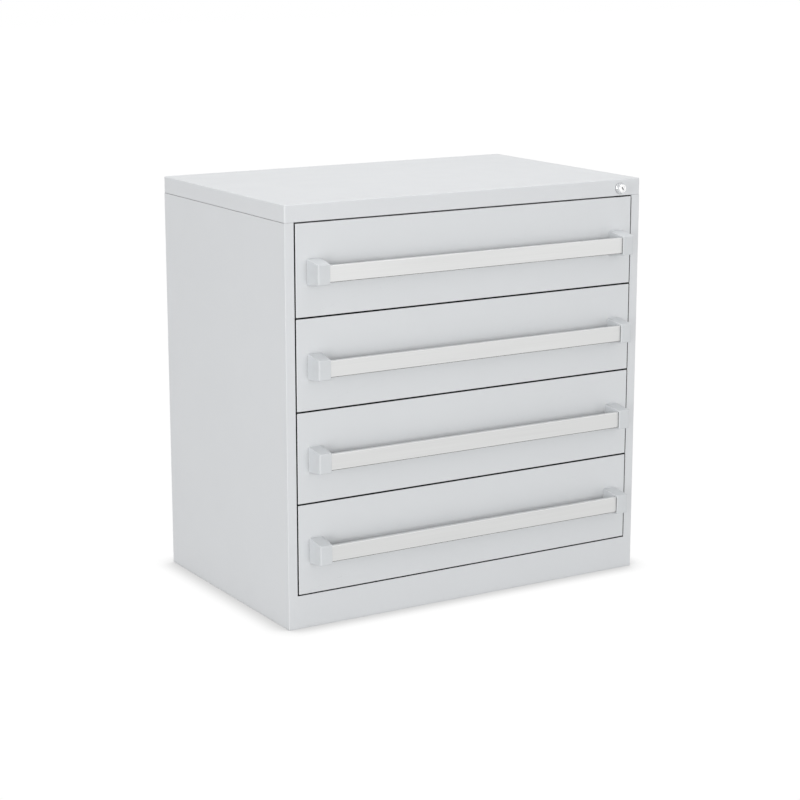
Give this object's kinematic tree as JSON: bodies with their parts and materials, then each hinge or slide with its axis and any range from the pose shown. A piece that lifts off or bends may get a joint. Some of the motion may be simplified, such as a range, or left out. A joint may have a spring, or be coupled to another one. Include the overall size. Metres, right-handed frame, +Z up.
{
  "type": "microscope slide cabinet",
  "caption": "Light grey steel cabinet with full-width bar-handled roller drawers, each divided into rows that hold microscope slides on end, and one key lock.",
  "frame": {"origin": "on the floor, under the middle of the whole object's box, handles included", "axes": "+Z up, -Y out of the drawer fronts, +X to the right as seen from the front"},
  "size_m": [0.762, 0.5282, 0.766],
  "materials": {
    "case_paint": "satin powder coat, light grey",
    "front_paint": "satin powder coat, light grey",
    "tray_paint": "satin powder coat, light grey",
    "inner_paint": "thin powder coat on galvanised sheet",
    "rail_zinc": "rolled, zinc plated",
    "bright_zinc": "bright zinc plated",
    "bar_aluminium": "satin anodised extrusion",
    "block_plastic": "fine matt moulding, grey",
    "roller_nylon": "natural nylon",
    "foot_nylon": "black nylon",
    "lock_chrome": "polished chrome plate"
  },
  "bodies": {
    "case": {"top_cap": "case_paint", "left_side_panel": "case_paint", "right_side_panel": "case_paint", "back_panel": "case_paint", "base_pan": "inner_paint", "plinth_front": "case_paint", "inner_frame": "inner_paint", "case_rails": "rail_zinc", "case_rail_screws": "bright_zinc", "foot_brackets": "inner_paint", "lock_barrel": "lock_chrome", "lock_nut": "bright_zinc", "lock_bar_guides": "roller_nylon"},
    "lock_plug": {"lock_plug": "lock_chrome", "lock_cam": "bright_zinc"},
    "lock_bar": {"lock_bar": "bright_zinc"},
    "levelling_foot_front_left": {"levelling_foot_front_left": "foot_nylon"},
    "levelling_foot_front_right": {"levelling_foot_front_right": "foot_nylon"},
    "levelling_foot_rear_left": {"levelling_foot_rear_left": "foot_nylon"},
    "levelling_foot_rear_right": {"levelling_foot_rear_right": "foot_nylon"},
    "drawer_1": {"drawer_1_front": "front_paint", "drawer_1_tray": "tray_paint", "drawer_1_row_dividers": "tray_paint", "drawer_1_tray_rails": "rail_zinc", "drawer_1_handle_ends": "block_plastic", "drawer_1_handle_bar": "bar_aluminium", "drawer_1_handle_screws": "bright_zinc", "drawer_1_lock_catch": "bright_zinc"},
    "drawer_1_case_rollers": {"drawer_1_case_rollers": "roller_nylon"},
    "drawer_1_tray_rollers": {"drawer_1_tray_rollers": "roller_nylon"},
    "drawer_2": {"drawer_2_front": "front_paint", "drawer_2_tray": "tray_paint", "drawer_2_row_dividers": "tray_paint", "drawer_2_tray_rails": "rail_zinc", "drawer_2_handle_ends": "block_plastic", "drawer_2_handle_bar": "bar_aluminium", "drawer_2_handle_screws": "bright_zinc", "drawer_2_lock_catch": "bright_zinc"},
    "drawer_2_case_rollers": {"drawer_2_case_rollers": "roller_nylon"},
    "drawer_2_tray_rollers": {"drawer_2_tray_rollers": "roller_nylon"},
    "drawer_3": {"drawer_3_front": "front_paint", "drawer_3_tray": "tray_paint", "drawer_3_row_dividers": "tray_paint", "drawer_3_tray_rails": "rail_zinc", "drawer_3_handle_ends": "block_plastic", "drawer_3_handle_bar": "bar_aluminium", "drawer_3_handle_screws": "bright_zinc", "drawer_3_lock_catch": "bright_zinc"},
    "drawer_3_case_rollers": {"drawer_3_case_rollers": "roller_nylon"},
    "drawer_3_tray_rollers": {"drawer_3_tray_rollers": "roller_nylon"},
    "drawer_4": {"drawer_4_front": "front_paint", "drawer_4_tray": "tray_paint", "drawer_4_row_dividers": "tray_paint", "drawer_4_tray_rails": "rail_zinc", "drawer_4_handle_ends": "block_plastic", "drawer_4_handle_bar": "bar_aluminium", "drawer_4_handle_screws": "bright_zinc", "drawer_4_lock_catch": "bright_zinc"},
    "drawer_4_case_rollers": {"drawer_4_case_rollers": "roller_nylon"},
    "drawer_4_tray_rollers": {"drawer_4_tray_rollers": "roller_nylon"}
  },
  "joints": [
    {"name": "lock_turn", "type": "hinge", "parent": "case", "child": "lock_plug", "pos_m": [0.3346, -0.2219, 0.7492], "axis": [0, 1, 0], "range_deg": [0, 90]},
    {"name": "lock_bar_drop", "type": "slide", "parent": "case", "child": "lock_bar", "axis": [0, 0, -1], "range_m": [0, 0.01697]},
    {"name": "levelling_foot_front_left_screw", "type": "slide", "parent": "case", "child": "levelling_foot_front_left", "axis": [0, 0, -1], "range_m": [0, 0.012]},
    {"name": "levelling_foot_front_right_screw", "type": "slide", "parent": "case", "child": "levelling_foot_front_right", "axis": [0, 0, -1], "range_m": [0, 0.012]},
    {"name": "levelling_foot_rear_left_screw", "type": "slide", "parent": "case", "child": "levelling_foot_rear_left", "axis": [0, 0, -1], "range_m": [0, 0.012]},
    {"name": "levelling_foot_rear_right_screw", "type": "slide", "parent": "case", "child": "levelling_foot_rear_right", "axis": [0, 0, -1], "range_m": [0, 0.012]},
    {"name": "drawer_1_slide", "type": "slide", "parent": "case", "child": "drawer_1", "axis": [0, -1, 0], "range_m": [0, 0.34]},
    {"name": "drawer_1_case_rollers_turn", "type": "hinge", "parent": "case", "child": "drawer_1_case_rollers", "pos_m": [0, -0.1849, 0.1161], "axis": [1, 0, 0], "range_deg": [0, 1771]},
    {"name": "drawer_1_tray_rollers_turn", "type": "hinge", "parent": "drawer_1", "child": "drawer_1_tray_rollers", "pos_m": [0, 0.2199, 0.1136], "axis": [1, 0, 0], "range_deg": [0, 1771]},
    {"name": "drawer_2_slide", "type": "slide", "parent": "case", "child": "drawer_2", "axis": [0, -1, 0], "range_m": [0, 0.34]},
    {"name": "drawer_2_case_rollers_turn", "type": "hinge", "parent": "case", "child": "drawer_2_case_rollers", "pos_m": [0, -0.1849, 0.28395], "axis": [1, 0, 0], "range_deg": [0, 1771]},
    {"name": "drawer_2_tray_rollers_turn", "type": "hinge", "parent": "drawer_2", "child": "drawer_2_tray_rollers", "pos_m": [0, 0.2199, 0.28145], "axis": [1, 0, 0], "range_deg": [0, 1771]},
    {"name": "drawer_3_slide", "type": "slide", "parent": "case", "child": "drawer_3", "axis": [0, -1, 0], "range_m": [0, 0.34]},
    {"name": "drawer_3_case_rollers_turn", "type": "hinge", "parent": "case", "child": "drawer_3_case_rollers", "pos_m": [0, -0.1849, 0.4518], "axis": [1, 0, 0], "range_deg": [0, 1771]},
    {"name": "drawer_3_tray_rollers_turn", "type": "hinge", "parent": "drawer_3", "child": "drawer_3_tray_rollers", "pos_m": [0, 0.2199, 0.4493], "axis": [1, 0, 0], "range_deg": [0, 1771]},
    {"name": "drawer_4_slide", "type": "slide", "parent": "case", "child": "drawer_4", "axis": [0, -1, 0], "range_m": [0, 0.34]},
    {"name": "drawer_4_case_rollers_turn", "type": "hinge", "parent": "case", "child": "drawer_4_case_rollers", "pos_m": [0, -0.1849, 0.61965], "axis": [1, 0, 0], "range_deg": [0, 1771]},
    {"name": "drawer_4_tray_rollers_turn", "type": "hinge", "parent": "drawer_4", "child": "drawer_4_tray_rollers", "pos_m": [0, 0.2199, 0.61715], "axis": [1, 0, 0], "range_deg": [0, 1771]}
  ],
  "couplings": [
    {"joint": "lock_turn", "follows": "lock_bar_drop", "rad_per_m": 92.5},
    {"joint": "drawer_1_case_rollers_turn", "follows": "drawer_1_slide", "rad_per_m": 90.909},
    {"joint": "drawer_1_tray_rollers_turn", "follows": "drawer_1_slide", "rad_per_m": 90.909},
    {"joint": "drawer_2_case_rollers_turn", "follows": "drawer_2_slide", "rad_per_m": 90.909},
    {"joint": "drawer_2_tray_rollers_turn", "follows": "drawer_2_slide", "rad_per_m": 90.909},
    {"joint": "drawer_3_case_rollers_turn", "follows": "drawer_3_slide", "rad_per_m": 90.909},
    {"joint": "drawer_3_tray_rollers_turn", "follows": "drawer_3_slide", "rad_per_m": 90.909},
    {"joint": "drawer_4_case_rollers_turn", "follows": "drawer_4_slide", "rad_per_m": 90.909},
    {"joint": "drawer_4_tray_rollers_turn", "follows": "drawer_4_slide", "rad_per_m": 90.909}
  ]
}
